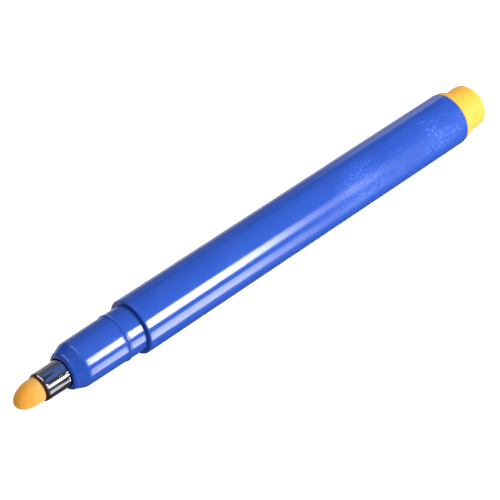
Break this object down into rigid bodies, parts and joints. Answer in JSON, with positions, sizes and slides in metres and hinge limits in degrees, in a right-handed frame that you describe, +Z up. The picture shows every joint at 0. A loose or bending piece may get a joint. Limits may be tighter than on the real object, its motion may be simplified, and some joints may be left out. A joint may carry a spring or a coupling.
{
  "type": "counterfeit detector pen",
  "caption": "Uncapped felt-tip banknote testing pen with a bullet nib in a metal sleeve, a stepped round barrel and a push-fit end plug with a posting knob.",
  "frame": {"origin": "on the ground under the middle of the pen's length, with the pen lying on its side", "axes": "+X along the pen from the nib to the end plug, +Z up"},
  "size_m": [0.1394, 0.013, 0.013],
  "materials": {
    "barrel_plastic": "glossy moulded blue polypropylene with fine handling scratches",
    "section_plastic": "glossy moulded blue polypropylene",
    "ferrule_metal": "bright plated sleeve with faint turning lines",
    "nib_felt": "bonded polyester felt soaked with amber ink, fibres along the nib",
    "holder_plastic": "natural translucent polyethylene",
    "core_fibre": "crimped polyester fibre, damp with ink",
    "core_film": "thin clear film with a lengthways seam",
    "plug_plastic": "satin moulded yellow polyethylene"
  },
  "bodies": {
    "pen_body": {"barrel": "barrel_plastic", "front_section": "section_plastic", "nib_ferrule": "ferrule_metal", "nib_holder": "holder_plastic", "reservoir_core": "core_fibre", "reservoir_film": "core_film"},
    "nib": {"nib": "nib_felt"},
    "end_plug": {"end_plug": "plug_plastic"}
  },
  "joints": [
    {"name": "nib_pull", "type": "slide", "parent": "pen_body", "child": "nib", "axis": [-1, 0, 0], "range_m": [0, 0.037]},
    {"name": "end_plug_pull", "type": "slide", "parent": "pen_body", "child": "end_plug", "axis": [1, 0, 0], "range_m": [0, 0.011]}
  ]
}
